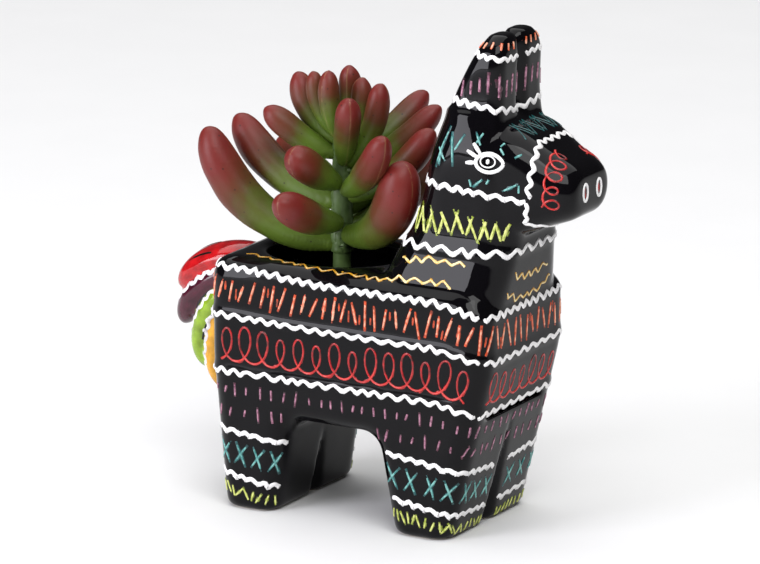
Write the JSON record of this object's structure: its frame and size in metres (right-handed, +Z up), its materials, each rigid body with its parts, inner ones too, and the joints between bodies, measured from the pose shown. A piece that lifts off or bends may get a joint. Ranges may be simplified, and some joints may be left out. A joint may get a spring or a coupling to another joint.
{
  "type": "animal-shaped planter",
  "caption": "Glazed ceramic planter in the shape of a standing donkey with hand-painted zigzag bands, a drain stopper, and an artificial succulent set in foam in its back.",
  "frame": {"origin": "on the floor under the feet, at the middle of the overall box", "axes": "+X from the tail to the muzzle, +Y to the animal's left, +Z up"},
  "size_m": [0.1573, 0.0789, 0.1685],
  "materials": {
    "glazed_body": "gloss black glaze with raised white and coloured hand-painted strokes",
    "painted_tail": "gloss glaze painted in bands of red, maroon, lime and yellow",
    "stopper_rubber": "matt moulded rubber",
    "foam": "rough open-cell floral foam",
    "stem_plastic": "soft moulded plastic, dull green",
    "leaf_plastic": "waxy moulded plastic, green at the root and dark red at the tip"
  },
  "bodies": {
    "planter": {"planter_shell": "glazed_body", "tail": "painted_tail"},
    "stopper": {"drain_stopper": "stopper_rubber"},
    "foam": {"foam_block": "foam"},
    "plant": {"plant_stem": "stem_plastic", "leaf_01": "leaf_plastic", "leaf_02": "leaf_plastic", "leaf_03": "leaf_plastic", "leaf_04": "leaf_plastic", "leaf_05": "leaf_plastic", "leaf_06": "leaf_plastic", "leaf_07": "leaf_plastic", "leaf_08": "leaf_plastic", "leaf_09": "leaf_plastic", "leaf_10": "leaf_plastic", "leaf_11": "leaf_plastic", "leaf_12": "leaf_plastic", "leaf_13": "leaf_plastic", "leaf_14": "leaf_plastic", "leaf_15": "leaf_plastic", "leaf_16": "leaf_plastic", "leaf_17": "leaf_plastic", "leaf_18": "leaf_plastic", "leaf_19": "leaf_plastic", "leaf_20": "leaf_plastic", "leaf_21": "leaf_plastic"}
  },
  "joints": [
    {"name": "foam_lift", "type": "slide", "parent": "planter", "child": "foam", "axis": [0, 0, 1], "range_m": [0, 0.1]},
    {"name": "plant_lift", "type": "slide", "parent": "foam", "child": "plant", "axis": [0, 0, 1], "range_m": [0, 0.05]},
    {"name": "stopper_pull", "type": "slide", "parent": "planter", "child": "stopper", "axis": [0, 0, -1], "range_m": [0, 0.022]}
  ]
}
